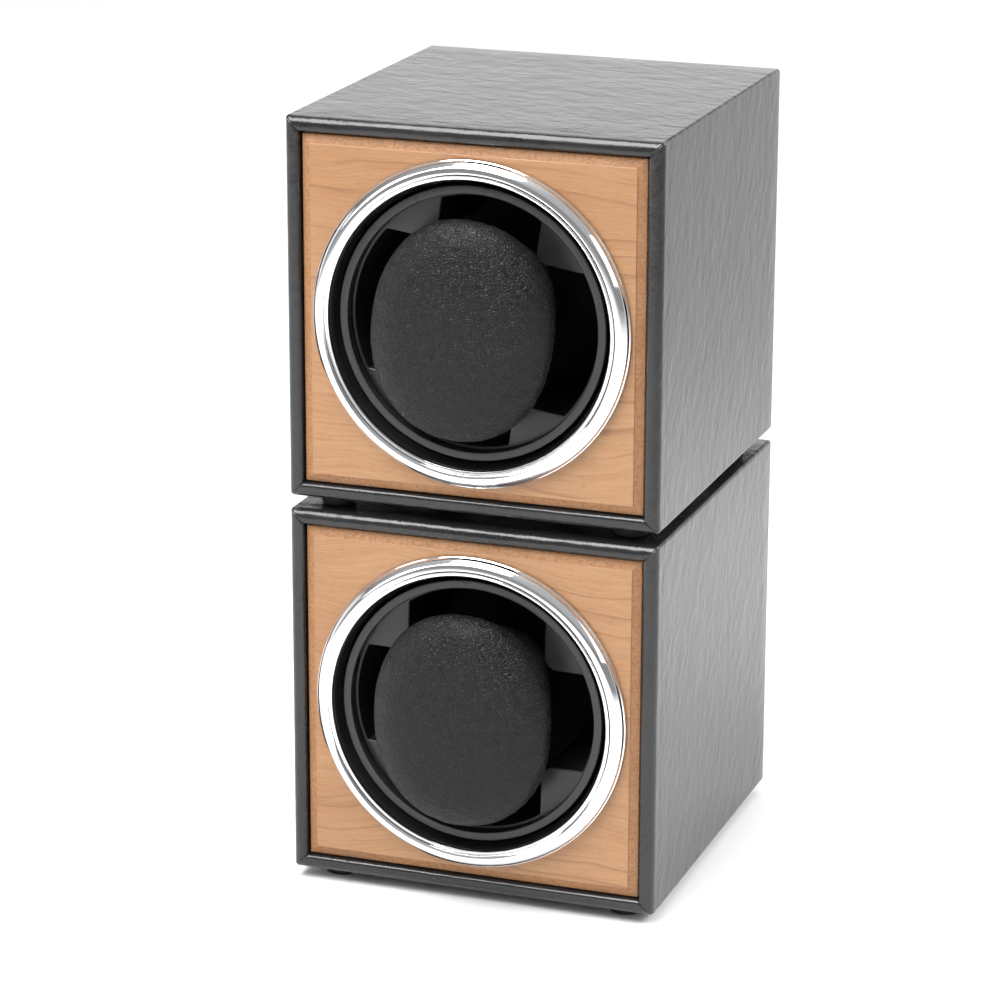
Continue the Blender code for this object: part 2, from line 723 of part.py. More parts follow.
def build_module(prefix, shapes):
    case = empty(prefix + "_module", (0.0, FRONT_LIP_Y, MODULE_HEIGHT[prefix]))
    drum = empty(prefix + "_drum_axis", (0.0, 0.0, 0.0), case)
    turned_insert = empty(prefix + "_insert_turn", (0.0, 0.0, 0.0), drum, INSERT_TURN[prefix])
    turned_pillow = empty(prefix + "_pillow_turn", (0.0, 0.0, 0.0), drum, PILLOW_TURN[prefix])
    motor = empty(prefix + "_motor_axis", (MOTOR_X, 0.0, MOTOR_Z), case)
    knob = empty(prefix + "_knob_axis", (KNOB_X, 0.0, CONTROL_Z), case)

    holders = {
        "drum_rim": drum,
        "drum_cup": drum,
        "drum_insert": turned_insert,
        "pillow": turned_pillow,
        "drum_shaft": drum,
        "drum_pulley": drum,
        "motor_pulley": motor,
        "gear_motor": motor,
        "mode_switch": knob,
        "mode_knob": knob,
    }
    for kind, (mesh, material) in shapes.items():
        if kind in ("foot", "back_screw"):
            continue
        location = (INLET_X, 0.0, CONTROL_Z) if kind == "dc_inlet" else (0.0, 0.0, 0.0)
        place(f"{prefix}_{kind}", mesh, material, holders.get(kind, case), location)

    for number, (side, level) in enumerate(CORNERS, start=1):
        spot = (side * SCREW_OFFSET, 0.0, level * SCREW_OFFSET)
        place(f"{prefix}_back_screw_{number}", *shapes["back_screw"], case, spot)
        foot_x = side * (CASE_SIDE / 2 - FOOT_INSET)
        foot_y = CASE_DEPTH / 2 + level * (CASE_DEPTH / 2 - FOOT_INSET)
        foot_z = -CASE_SIDE / 2 - CLEARANCE
        pad = place(f"{prefix}_foot_{number}", *shapes["foot"], case, (foot_x, foot_y, foot_z))
        pad.rotation_euler = (math.radians(-90), 0.0, 0.0)


def main():
    clear_scene()
    shapes = make_shapes()
    for prefix in ("lower", "upper"):
        build_module(prefix, shapes)


main()
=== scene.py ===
import math

import bmesh
import bpy
import numpy as np
from mathutils import Matrix, Vector, noise


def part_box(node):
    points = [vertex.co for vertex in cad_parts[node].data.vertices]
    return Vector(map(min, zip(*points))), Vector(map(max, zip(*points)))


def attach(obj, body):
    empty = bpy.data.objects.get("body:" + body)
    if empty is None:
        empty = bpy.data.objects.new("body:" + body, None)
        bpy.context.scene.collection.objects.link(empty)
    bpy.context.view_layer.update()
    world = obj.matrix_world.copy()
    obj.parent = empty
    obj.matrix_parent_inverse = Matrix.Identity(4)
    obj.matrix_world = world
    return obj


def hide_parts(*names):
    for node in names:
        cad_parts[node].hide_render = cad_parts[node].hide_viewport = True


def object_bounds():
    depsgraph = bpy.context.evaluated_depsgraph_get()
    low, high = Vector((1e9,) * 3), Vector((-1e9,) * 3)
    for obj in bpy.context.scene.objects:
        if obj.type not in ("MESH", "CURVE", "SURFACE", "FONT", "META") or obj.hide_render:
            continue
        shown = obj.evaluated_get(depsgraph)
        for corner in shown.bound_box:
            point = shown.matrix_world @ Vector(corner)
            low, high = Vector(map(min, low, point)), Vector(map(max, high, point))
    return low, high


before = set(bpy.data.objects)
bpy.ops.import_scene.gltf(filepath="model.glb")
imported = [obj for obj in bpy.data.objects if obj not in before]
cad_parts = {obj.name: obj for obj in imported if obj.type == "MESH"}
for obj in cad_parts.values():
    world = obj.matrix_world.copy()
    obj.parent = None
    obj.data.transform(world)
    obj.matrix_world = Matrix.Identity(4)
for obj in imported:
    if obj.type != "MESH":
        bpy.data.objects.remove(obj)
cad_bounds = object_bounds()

MM = 0.001
PREFIXES = ("lower", "upper")

# How far each module's pocket and pillow are turned about the drum's axis, in degrees,
# anticlockwise as seen from the front.
INSERT_TURN = {"lower": -1.3, "upper": 81.8}
PILLOW_TURN = {"lower": -1.3, "upper": -8.2}

# The camera, from the middle of the object's box.
CAMERA_TURN = 19.5
CAMERA_DROP = 17.02
CAMERA_ROLL = 0.19
CAMERA_LENS = 138.28
CAMERA_OFFSET = (0.3765, -1.0931, 0.34595)


# ---------------------------------------------------------------- places, from the CAD
def module_origin(prefix):
    """The point on the drum's axis at the front lip's face."""
    low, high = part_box(f"{prefix}_leatherette_cover")
    return Vector(((low.x + high.x) / 2, low.y, (low.z + high.z) / 2))


def turned_frame(prefix, degrees=0.0):
    return Matrix.Translation(module_origin(prefix)) @ Matrix.Rotation(math.radians(-degrees), 4, "Y")


# ---------------------------------------------------------------- mesh helpers
def mesh_of(name, points, faces, sharp=35):
    """A smooth mesh with its faces out, and its edges sharp above an angle in degrees."""
    mesh = bpy.data.meshes.new(name)
    mesh.from_pydata([tuple(p) for p in points], [], faces)
    bm = bmesh.new()
    bm.from_mesh(mesh)
    bmesh.ops.remove_doubles(bm, verts=bm.verts, dist=1e-8)
    bmesh.ops.recalc_face_normals(bm, faces=bm.faces)
    bm.to_mesh(mesh)
    bm.free()
    mesh.shade_smooth()
    mesh.set_sharp_from_angle(angle=math.radians(sharp))
    return mesh


def lofted(name, rings, closed=False, sharp=35):
    """A skin over rings of equally many points.

    A ring of one point closes an end, and closed joins the last ring to the first.
    """
    points = [p for ring in rings for p in ring]
    starts = np.cumsum([0] + [len(ring) for ring in rings])
    faces = []
    pairs = list(zip(range(len(rings) - 1), range(1, len(rings))))
    if closed:
        pairs.append((len(rings) - 1, 0))
    for a, b in pairs:
        count = max(len(rings[a]), len(rings[b]))
        for i in range(count):
            j = (i + 1) % count
            corners = []
            for ring, order in ((a, (i, j)), (b, (j, i))):
                corners += [starts[ring] + (k if len(rings[ring]) > 1 else 0) for k in order]
            faces.append([int(c) for c in dict.fromkeys(corners)])
    return mesh_of(name, points, faces, sharp)


def filleted(corners, steps=4, closed=True):
    """A polyline of (a, b, radius) corners with each corner rounded by its radius."""
    path = []
    count = len(corners)
    for i, (a, b, radius) in enumerate(corners):
        here = Vector((a, b))
        if radius <= 0 or (not closed and i in (0, count - 1)):
            path.append((a, b))
            continue
        before = Vector(corners[i - 1][:2]) - here
        after = Vector(corners[(i + 1) % count][:2]) - here
        half = before.angle(after) / 2
        reach = min(radius / math.tan(half), before.length * 0.49, after.length * 0.49)
        start, end = here + before.normalized() * reach, here + after.normalized() * reach
        bend = 1 / (1 + math.sin(half))
        for k in range(steps + 1):
            t = k / steps
            plain = start * (1 - t) ** 2 + here * 2 * t * (1 - t) + end * t**2
            path.append(tuple(plain.lerp(start.lerp(end, t), (1 - bend) * 2 * t * (1 - t) * 0.35)))
    return path


def arc(centre, radii, start_deg, end_deg, steps):
    """Points along an elliptical arc, both ends included."""
    turns = [math.radians(start_deg + (end_deg - start_deg) * step / steps) for step in range(steps + 1)]
    return [(centre[0] + radii[0] * math.cos(t), centre[1] + radii[1] * math.sin(t)) for t in turns]


def lathe(name, profile, sides=128, centre=(0.0, 0.0), closed=True, sharp=35):
    """Spin (radius, Y) points about an axis along Y through centre (X, Z)."""
    rings = []
    for radius, y in profile:
        if radius < 1e-7:
            rings.append([(centre[0], y, centre[1])])
            continue
        turns = [math.tau * i / sides for i in range(sides)]
        rings.append([(centre[0] + radius * math.cos(t), y, centre[1] + radius * math.sin(t)) for t in turns])
    return lofted(name, rings, closed, sharp)


def square_ring(half, corner, y, sides, corner_steps=6):
    """A rounded square in an X-Z plane. sides are the fractions along each straight run."""
    ring = []
    straight = half - corner
    for quarter in range(4):
        turn = math.radians(90 * quarter)
        c, s = math.cos(turn), math.sin(turn)
        run = [(-straight + 2 * straight * f, -half) for f in sides]
        for k in range(1, corner_steps):
            a = math.radians(-90 + 90 * k / corner_steps)
            run.append((straight + corner * math.cos(a), -straight + corner * math.sin(a)))
        ring += [(x * c - z * s, y, x * s + z * c) for x, z in run]
    return ring


def joined_meshes(name, parts):
    """One mesh from several (mesh, material index) parts."""
    bm = bmesh.new()
    for part, index in parts:
        before = len(bm.faces)
        bm.from_mesh(part)
        bm.faces.ensure_lookup_table()
        for face in bm.faces[before:]:
            face.material_index = index
    mesh = bpy.data.meshes.new(name)
    bm.to_mesh(mesh)
    bm.free()
    return mesh


def add_piece(name, mesh, matrix, materials, body, nodes):
    mesh = mesh.copy()
    mesh.transform(matrix)
    for finish in materials:
        mesh.materials.append(finish)
    obj = bpy.data.objects.new(name, mesh)
    bpy.context.scene.collection.objects.link(obj)
    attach(obj, body)
    if nodes:
        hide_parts(*nodes)
    return obj


# ---------------------------------------------------------------- material helpers
class Finish:
    """A node material. Its calls add a node, link its inputs and return its main output."""

    def __init__(self, name, **constants):
        self.material = bpy.data.materials.new(name)
        self.material.use_nodes = True
        self.nodes = self.material.node_tree.nodes
        self.links = self.material.node_tree.links
        self.shader = self.nodes["Principled BSDF"]
        for key, value in constants.items():
            self.shader.inputs[key.replace("_", " ")].default_value = value
        self.place = self.node("ShaderNodeTexCoord").outputs["Object"]

    def node(self, kind, inputs=(), **settings):
        made = self.nodes.new(kind)
        for key, value in settings.items():
            setattr(made, key, value)
        for key, value in dict(inputs).items():
            if isinstance(value, bpy.types.NodeSocket):
                self.links.new(value, made.inputs[key])
            else:
                made.inputs[key].default_value = value
        return made

    def scaled(self, scale, turn=(0.0, 0.0, 0.0), source=None):
        angles = tuple(math.radians(a) for a in turn)
        inputs = {"Vector": source or self.place, "Scale": scale, "Rotation": angles}
        return self.node("ShaderNodeMapping", inputs).outputs[0]

    def noise(self, vector, scale=1.0, detail=3.0, roughness=0.5, distortion=0.0):
        inputs = {"Vector": vector, "Scale": scale, "Detail": detail}
        inputs.update({"Roughness": roughness, "Distortion": distortion})
        return self.node("ShaderNodeTexNoise", inputs).outputs[0]

    def cells(self, vector, scale, feature="F1"):
        inputs = {"Vector": vector, "Scale": scale}
        return self.node("ShaderNodeTexVoronoi", inputs, feature=feature).outputs["Distance"]

    def math(self, operation, a, b=0.0):
        return self.node("ShaderNodeMath", {0: a, 1: b}, operation=operation).outputs[0]

    def span(self, value, low, high, to_low=0.0, to_high=1.0, smooth=False):
        inputs = {"Value": value, "From Min": low, "From Max": high, "To Min": to_low, "To Max": to_high}
        kind = "SMOOTHSTEP" if smooth else "LINEAR"
        return self.node("ShaderNodeMapRange", inputs, interpolation_type=kind).outputs[0]

    def mix(self, amount, a, b):
        made = self.node("ShaderNodeMix", {0: amount}, data_type="RGBA")
        for socket, value in ((made.inputs[6], a), (made.inputs[7], b)):
            if isinstance(value, bpy.types.NodeSocket):
                self.links.new(value, socket)
            else:
                socket.default_value = (*value, 1.0)
        return made.outputs[2]

    def bump(self, height, depth, strength=1.0, normal=None):
        inputs = {"Height": height, "Distance": depth, "Strength": strength}
        if normal:
            inputs["Normal"] = normal
        return self.node("ShaderNodeBump", inputs).outputs[0]

    def use(self, **sockets):
        for key, value in sockets.items():
            self.links.new(value, self.shader.inputs[key.replace("_", " ")])
        return self.material


def case_leatherette():
    """Black coated leatherette: fine pores, and a shallow crumpled grain a few millimetres across."""
    f = Finish("case_leatherette", IOR=1.5)
    slanted = f.scaled((1, 1, 1), (28, 0, 20))
    creases = f.noise(f.scaled((120, 215, 120), source=slanted), 1.0, 3.0, 0.55, 0.3)
    broad = f.noise(f.scaled((24, 40, 24)), 1.0, 2.0)
    pores = f.cells(f.scaled((1, 1.35, 1)), 1150, "SMOOTH_F1")
    patches = f.noise(f.place, 45, 3.0)
    normal = f.bump(creases, 0.00026)
    normal = f.bump(broad, 0.00016, 1.0, normal)
    normal = f.bump(pores, 0.000025, 1.0, normal)
    colour = f.mix(f.span(pores, 0.1, 0.7), (0.016, 0.016, 0.017), (0.008, 0.008, 0.009))
    return f.use(
        Base_Color=f.mix(f.span(patches, 0.3, 0.7), colour, (0.019, 0.019, 0.020)),
        Roughness=f.span(patches, 0.25, 0.75, 0.17, 0.23),
        Normal=normal,
    )


def cherry_wood():
    """Lacquered cherry: grain along X, a few darker wavy growth lines, and short pores."""
    f = Finish("cherry_wood")
    bend = f.math("SUBTRACT", f.noise(f.scaled((16, 16, 24)), 1.0, 1.0), 0.5)
    small = f.math("SUBTRACT", f.noise(f.scaled((60, 60, 90)), 1.0, 1.0), 0.5)
    shift = f.math("ADD", f.math("MULTIPLY", bend, 0.022), f.math("MULTIPLY", small, 0.0022))
    offset = f.node("ShaderNodeCombineXYZ", {"Z": shift}).outputs[0]
    wavy = f.node("ShaderNodeVectorMath", {0: f.place, 1: offset}, operation="ADD").outputs[0]
    height = f.node("ShaderNodeSeparateXYZ", {0: wavy}).outputs["Z"]
    pace = f.math("MULTIPLY", f.noise(f.scaled((3, 3, 45), source=wavy), 1.0, 1.0), 7.0)
    growth = f.math("FRACT", f.math("ADD", f.math("MULTIPLY", height, 130.0), pace))
    shown = f.span(f.noise(f.scaled((22, 22, 34)), 1.0, 1.0), 0.40, 0.62, smooth=True)
    edge = f.math("MULTIPLY", f.span(growth, 0.80, 0.97, smooth=True), f.span(growth, 1.0, 0.97))
    late = f.math("MULTIPLY", f.span(growth, 0.45, 0.95, smooth=True), 0.16)
    tone = f.noise(f.scaled((9, 9, 70), source=wavy), 1.0, 3.0)
    fibre = f.noise(f.scaled((85, 85, 2300), source=wavy), 1.0, 3.0, 0.6)
    strands = f.noise(f.scaled((40, 40, 900), source=wavy), 1.0, 4.0, 0.65)
    pores = f.noise(f.scaled((300, 300, 3800)), 1.0, 1.0)
    pore_mask = f.span(pores, 0.60, 0.70)
    colour = f.mix(f.span(tone, 0.35, 0.65), (0.392, 0.212, 0.101), (0.342, 0.170, 0.076))
    colour = f.mix(f.math("MULTIPLY", late, shown), colour, (0.286, 0.130, 0.056))
    colour = f.mix(f.span(strands, 0.42, 0.66, 0.0, 0.55), colour, (0.292, 0.138, 0.059))
    colour = f.mix(f.span(fibre, 0.40, 0.70, 0.0, 0.35), colour, (0.446, 0.258, 0.131))
    colour = f.mix(f.math("MULTIPLY", f.math("MULTIPLY", edge, shown), 0.50), colour, (0.208, 0.083, 0.034))
    colour = f.mix(f.math("MULTIPLY", pore_mask, 0.45), colour, (0.222, 0.097, 0.042))
    normal = f.bump(fibre, 0.00002)
    normal = f.bump(pore_mask, -0.00002, 1.0, normal)
    return f.use(Base_Color=colour, Roughness=f.span(strands, 0.3, 0.7, 0.36, 0.46), Normal=normal)


def cut_wood():
    """The bevel's cut face: coarser, darker and more orange than the veneer."""
    f = Finish("cut_wood")
    grain = f.noise(f.scaled((900, 900, 1300)), 1.0, 3.0, 0.7)
    tone = f.noise(f.scaled((60, 60, 90)), 1.0, 3.0)
    flecks = f.cells(f.place, 1500)
    colour = f.mix(f.span(tone, 0.3, 0.7), (0.372, 0.191, 0.086), (0.322, 0.155, 0.065))
    colour = f.mix(f.span(grain, 0.45, 0.62, 0.0, 0.8), colour, (0.236, 0.104, 0.041))
    colour = f.mix(f.span(flecks, 0.25, 0.05, 0.0, 0.4), colour, (0.430, 0.259, 0.130))
    return f.use(
        Base_Color=colour,
        Roughness=f.span(grain, 0.3, 0.7, 0.50, 0.68),
        Normal=f.bump(grain, 0.00006),
    )


def chrome():
    f = Finish("chrome", Metallic=1.0)
    haze = f.noise(f.place, 60, 3.0)
    fine = f.noise(f.place, 2400, 2.0)
    return f.use(
        Base_Color=f.mix(f.span(haze, 0.3, 0.7), (0.83, 0.835, 0.85), (0.88, 0.885, 0.895)),
        Roughness=f.span(haze, 0.3, 0.7, 0.03, 0.07),
        Normal=f.bump(fine, 0.0000008),
    )


def moulded(name, colour, low, high, depth=0.00001, grain=2400, **constants):
    """Moulded plastic or rubber with a fine texture and slight changes of tone and gloss."""
    f = Finish(name, **constants)
    texture = f.noise(f.place, grain, 2.0, 0.6)
    patches = f.noise(f.place, 70, 3.0)
    lighter = tuple(min(1.0, c * 1.25 + 0.001) for c in colour)
    return f.use(
        Base_Color=f.mix(f.span(patches, 0.3, 0.7), colour, lighter),
        Roughness=f.span(patches, 0.3, 0.7, low, high),
        Normal=f.bump(texture, depth),
    )


def machined(name, colour, low, high):
    """Bare metal with fine turning marks."""
    f = Finish(name, Metallic=1.0)
    marks = f.noise(f.scaled((300, 9000, 300)), 1.0, 2.0)
    patches = f.noise(f.place, 200, 3.0)
    darker = tuple(c * 0.8 for c in colour)
    return f.use(
        Base_Color=f.mix(f.span(patches, 0.3, 0.7), colour, darker),
        Roughness=f.span(marks, 0.3, 0.7, low, high),
        Normal=f.bump(marks, 0.000004),
    )


def pillow_leatherette():
    """Soft black leatherette with a raised pebble grain. Its colour has a painted sheen on the pebble crowns
    and painted shade in the furrows between them.
    """
    f = Finish("pillow_leatherette", IOR=1.33, Sheen_Weight=0.02, Sheen_Roughness=0.4)
    wander = f.noise(f.place, 380, 2.0)
    swell = f.noise(f.place, 130, 2.0)
    pushed = f.node("ShaderNodeVectorMath", {0: f.place, 1: (0.35, 0.35, 0.35)}, operation="MULTIPLY_ADD")
    f.links.new(f.math("MULTIPLY", wander, 0.0016), pushed.inputs[2])
    spot = f.node("ShaderNodeVectorMath", {0: f.place, 1: pushed.outputs[0]}, operation="ADD").outputs[0]
    furrows = f.cells(spot, 820, "DISTANCE_TO_EDGE")
    crowns = f.cells(spot, 820, "SMOOTH_F1")
    pebble = f.span(furrows, 0.0, 0.30, smooth=True)
    height = f.math("MULTIPLY", pebble, f.span(wander, 0.25, 0.75, 0.45, 1.0))
    # painted sheen and shade: the pebble crowns are painted lighter and the furrows between them darker
    colour = f.mix(f.span(furrows, 0.02, 0.16), (0.002, 0.002, 0.0024), (0.0085, 0.0085, 0.0100))
    normal = f.bump(swell, 0.00030)
    normal = f.bump(height, 0.00019, 1.0, normal)
    return f.use(
        Base_Color=f.mix(f.span(wander, 0.3, 0.7, 0.0, 0.6), colour, (0.0060, 0.0060, 0.0070)),
        Roughness=f.span(crowns, 0.1, 0.6, 0.27, 0.42),
        Normal=normal,
    )


def fibre_board(name, light, dark):
    f = Finish(name)
    fibres = f.noise(f.scaled((900, 300, 900)), 1.0, 3.0, 0.7)
    tone = f.noise(f.place, 50, 3.0)
    colour = f.mix(f.span(fibres, 0.35, 0.65), dark, light)
    return f.use(
        Base_Color=f.mix(f.span(tone, 0.3, 0.7, 0.0, 0.3), colour, dark),
        Roughness=f.span(fibres, 0.3, 0.7, 0.7, 0.9),
        Normal=f.bump(fibres, 0.00003),
    )


def board_green():
    """Solder mask with faint traces."""
    f = Finish("board_green")
    tracks = f.cells(f.place, 350, "DISTANCE_TO_EDGE")
    mask = f.span(tracks, 0.05, 0.09)
    speckle = f.noise(f.place, 900, 2.0)
    colour = f.mix(mask, (0.030, 0.230, 0.100), (0.010, 0.120, 0.045))
    return f.use(
        Base_Color=f.mix(f.span(speckle, 0.3, 0.7, 0.0, 0.4), colour, (0.015, 0.150, 0.060)),
        Roughness=f.span(speckle, 0.3, 0.7, 0.28, 0.42),
        Normal=f.bump(mask, 0.00002),
    )


def make_finishes():
    return {
        "leatherette": case_leatherette(),
        "wood": cherry_wood(),
        "cut_wood": cut_wood(),
        "chrome": chrome(),
        "gloss_black": moulded("gloss_black_plastic", (0.010, 0.010, 0.010), 0.07, 0.12, 0.0000015, 900),
        "rim": moulded("rim_plastic", (0.018, 0.018, 0.0195), 0.26, 0.34, 0.000003),
        "insert": moulded("insert_plastic", (0.014, 0.014, 0.0155), 0.30, 0.38, 0.000004),
        # painted shade: the pocket's walls and floor get a darker, duller, less reflective plastic than the
        # plates
        "lining": moulded("pocket_painted_shade", (0.0045, 0.0045, 0.0048), 0.75, 0.90, 0.00003, 4000, IOR=1.25),
        "drum": moulded("drum_plastic", (0.012, 0.012, 0.012), 0.40, 0.50),
        "pillow": pillow_leatherette(),
        "thread": moulded("black_thread", (0.020, 0.020, 0.022), 0.6, 0.8, 0.00004, 5000),
        "rubber": moulded("foot_rubber", (0.016, 0.016, 0.016), 0.72, 0.88, 0.00003, 1500),
        "board": fibre_board("case_board", (0.42, 0.29, 0.17), (0.27, 0.18, 0.10)),
        "back": moulded("back_board", (0.018, 0.018, 0.019), 0.50, 0.64, 0.00003, 1300),
        "chassis": moulded("chassis_plastic", (0.045, 0.045, 0.047), 0.45, 0.60, 0.00002, 1500),
        "knob": moulded("knob_plastic", (0.020, 0.020, 0.021), 0.34, 0.44, 0.00001, 2200),
        "switch": moulded("switch_plastic", (0.18, 0.18, 0.19), 0.40, 0.52, 0.00001, 1800),
        "socket": moulded("socket_plastic", (0.014, 0.014, 0.015), 0.30, 0.42, 0.00001, 1800),
        "ink": moulded("white_ink", (0.70, 0.70, 0.68), 0.50, 0.60, 0.000003, 3000),
        "belt": moulded("belt_rubber", (0.022, 0.022, 0.022), 0.60, 0.75, 0.00002, 2000),
        "pulley": moulded("pulley_plastic", (0.68, 0.67, 0.64), 0.38, 0.50, 0.00001, 1600),
        "screw": machined("screw_steel", (0.11, 0.11, 0.115), 0.30, 0.45),
        "steel": machined("steel", (0.60, 0.60, 0.62), 0.18, 0.34),
        "brass": machined("brass", (0.80, 0.58, 0.27), 0.20, 0.36),
        "circuit_board": board_green(),
    }


# ---------------------------------------------------------------- case
CASE_HALF = 59 * MM
CASE_DEPTH = 124 * MM
LIP_INNER = 54.3 * MM


def ripple(point, along, depth):
    """A small uneven swell, for leatherette drawn over an edge."""
    spot = Vector(point) * along
    return depth * (noise.noise(spot) + 0.5 * noise.noise(spot * 2.3 + Vector((7, 3, 1))))


def cover_mesh():
    """The wrap: a closed sleeve with a padded, mitred front lip and a turned-in back edge."""
    near = [0.0, 0.08, 0.18, 0.32, 0.55, 0.9, 1.5, 2.4, 3.8, 5.6]
    length = 2 * (CASE_HALF - 1.7 * MM) / MM
    middle = np.linspace(7.5, length - 7.5, 72)
    marks = near + list(middle) + [length - n for n in reversed(near)]
    sides = [m / length for m in marks]

    corner_centre = CASE_HALF - 1.1 * MM
    edge = CASE_HALF - 0.04 * MM
    wrap = [
        (edge, 2.7 * MM, 0.0),
        (edge, 5.9 * MM, 0.35 * MM),
        (CASE_HALF, 6.9 * MM, 0.5 * MM),
        (CASE_HALF, CASE_DEPTH, 0.9 * MM),
        (CASE_HALF - 4.35 * MM, CASE_DEPTH, 0.5 * MM),
        (CASE_HALF - 4.35 * MM, CASE_DEPTH - 2.0 * MM, 0.0),
        (CASE_HALF - 4.6 * MM, CASE_DEPTH - 2.0 * MM, 0.0),
    ]
    inner_bead = arc((LIP_INNER + 1.3 * MM, 1.3 * MM), (1.3 * MM, 1.3 * MM), 180, 270, 6)
    outer_bead = arc((edge - 2.9 * MM, 2.6 * MM), (2.9 * MM, 2.6 * MM), 270, 360, 16)
    inside = CASE_HALF - 1.0 * MM
    lining = [(inside, CASE_DEPTH - 2.0 * MM), (inside, 4.0 * MM), (LIP_INNER, 4.0 * MM)]
    profile = [(LIP_INNER, 3.0 * MM)] + inner_bead + outer_bead + filleted(wrap, 7, closed=False) + lining
    dense = []
    for (r0, y0), (r1, y1) in zip(profile, profile[1:] + profile[:1]):
        pieces = max(1, min(14, int(math.hypot(r1 - r0, y1 - y0) / (0.9 * MM))))
        for k in range(pieces):
            dense.append((r0 + (r1 - r0) * k / pieces, y0 + (y1 - y0) * k / pieces))

    rings = []
    for r, y in dense:
        corner = max(r - corner_centre, 0.12 * MM)
        ring = []
        for x, _, z in square_ring(r, corner, y, sides, 8):
            across = abs(abs(x) - abs(z)) / math.sqrt(2)
            front = max(0.0, 1 - y / (2.2 * MM))
            groove = math.exp(-((across / (0.17 * MM)) ** 2)) * min(1.0, front * 3)
            far = abs(abs(x) - abs(z)) / (6 * MM)
            lift = 0.06 + 0.06 * math.exp(-far)
            wave = ripple((x, y * 3, z), 300.0, lift * MM) * min(1.0, front * 2)
            shrink = 1 - (groove * 0.10 * MM) / CASE_HALF if r > 56 * MM else 1.0
            on_side = front == 0 and y < CASE_DEPTH - 2 * MM
            side_wave = ripple((x + 0.5, y, z), 60.0, 0.05 * MM) if on_side else 0.0
            grow = 1 + side_wave / CASE_HALF
            ring.append((x * shrink * grow, y + groove * 0.20 * MM + wave, z * shrink * grow))
        rings.append(ring)
    mesh = bpy.data.meshes.new("cover")
    points = [p for ring in rings for p in ring]
    size = len(rings[0])
    faces = []
    for a in range(len(rings)):
        b = (a + 1) % len(rings)
        for i in range(size):
            j = (i + 1) % size
            faces.append((a * size + i, a * size + j, b * size + j, b * size + i))
    mesh.from_pydata(points, [], faces)
    mesh.flip_normals()
    mesh.shade_smooth()
    mesh.set_sharp_from_angle(angle=math.radians(60))
    return mesh


PANEL_HALF = 53.8 * MM
PANEL_FACE_HALF = 51.0 * MM
PANEL_FRONT = 0.6 * MM
PANEL_BACK = 7.6 * MM
PANEL_BEVEL = 1.4 * MM
PANEL_HOLE = 46.2 * MM


def wood_mesh():
    """A square board with a softened bevel and a round opening. The bevel takes the second material."""
    fractions = np.linspace(0, 1, 40)[:-1]
    soft = 0.16 * MM
    levels = [
        (PANEL_FACE_HALF - soft, PANEL_FRONT),
        (PANEL_FACE_HALF + 0.02 * MM, PANEL_FRONT + 0.10 * MM),
        (PANEL_FACE_HALF + 0.10 * MM, PANEL_FRONT + 0.30 * MM),
        (PANEL_HALF - soft, PANEL_FRONT + PANEL_BEVEL - 0.06 * MM),
        (PANEL_HALF, PANEL_FRONT + PANEL_BEVEL + 0.15 * MM),
        (PANEL_HALF, PANEL_BACK),
    ]
    square = [square_ring(half, 0.25 * MM, y, fractions, 3) for half, y in levels]
    turns = [math.atan2(z, x) for x, _, z in square[0]]

    def circle(radius, y):
        return [(radius * math.cos(t), y, radius * math.sin(t)) for t in turns]

    front_edge = [circle(PANEL_HOLE, PANEL_BACK), circle(PANEL_HOLE, PANEL_FRONT)]
    rings = front_edge + square
    mesh = lofted("wood", rings, closed=True, sharp=12)
    for polygon in mesh.polygons:
        x, _, z = polygon.center
        polygon.material_index = 1 if max(abs(x), abs(z)) > PANEL_FACE_HALF + 0.05 * MM else 0
    return mesh


def ring_mesh():
    """The bright ring: a rounded section proud of the wood, a fine inner bead, and a spigot behind."""
    outline = [
        (50.00, 0.30, 0.0),
        (50.00, -0.55, 0.35),
        (49.62, -0.80, 0.20),
        (49.30, -1.75, 1.0),
        (47.90, -3.10, 1.8),
        (46.30, -3.35, 0.9),
        (45.55, -2.95, 0.25),
        (45.30, -2.35, 0.10),
        (44.95, -2.62, 0.22),
        (44.35, -2.50, 0.20),
        (44.30, -1.90, 0.15),
        (44.90, -1.10, 0.0),
        (44.90, 7.00, 0.0),
        (45.90, 7.00, 0.0),
        (45.90, 0.30, 0.0),
    ]
    profile = filleted([(r * MM, y * MM, f * MM) for r, y, f in outline], 6)
    return lathe("bright_ring", profile, 192, sharp=50)


def bezel_mesh():
    """The black funnel inside the ring, and its flange behind the wood."""
    outline = [
        (44.60, -0.90, 0.0),
        (44.25, -1.00, 0.20),
        (43.55, -0.20, 0.8),
        (43.30, 1.30, 0.8),
        (42.75, 2.60, 0.8),
        (42.70, 5.00, 0.5),
        (42.70, 12.00, 0.2),
        (44.60, 12.00, 0.0),
        (44.60, 9.90, 0.0),
        (50.00, 9.90, 0.0),
        (50.00, 7.90, 0.0),
        (44.60, 7.90, 0.0),
    ]
    profile = filleted([(r * MM, y * MM, f * MM) for r, y, f in outline], 6)
    return lathe("bezel_funnel", profile, 192, sharp=50)


# ---------------------------------------------------------------- drum
def rim_mesh():
    outline = [
        (42.00, 3.50, 0.0),
        (42.00, 1.00, 0.45),
        (39.30, 1.00, 0.40),
        (39.30, 3.50, 0.0),
    ]
    profile = filleted([(r * MM, y * MM, f * MM) for r, y, f in outline], 5)
    return lathe("rim_ring", profile, 160, sharp=50)


INSERT_RADIUS = 39.5 * MM
PLATE_FRONT = 4.5 * MM
POCKET_FLOOR = 40.7 * MM
INSERT_BACK = 42.7 * MM
POCKET_RADIUS = 38.3 * MM
POCKET_WIDE = 21.9 * MM
POCKET_NARROW = 15.6 * MM
POCKET_CORNER = 4.0 * MM


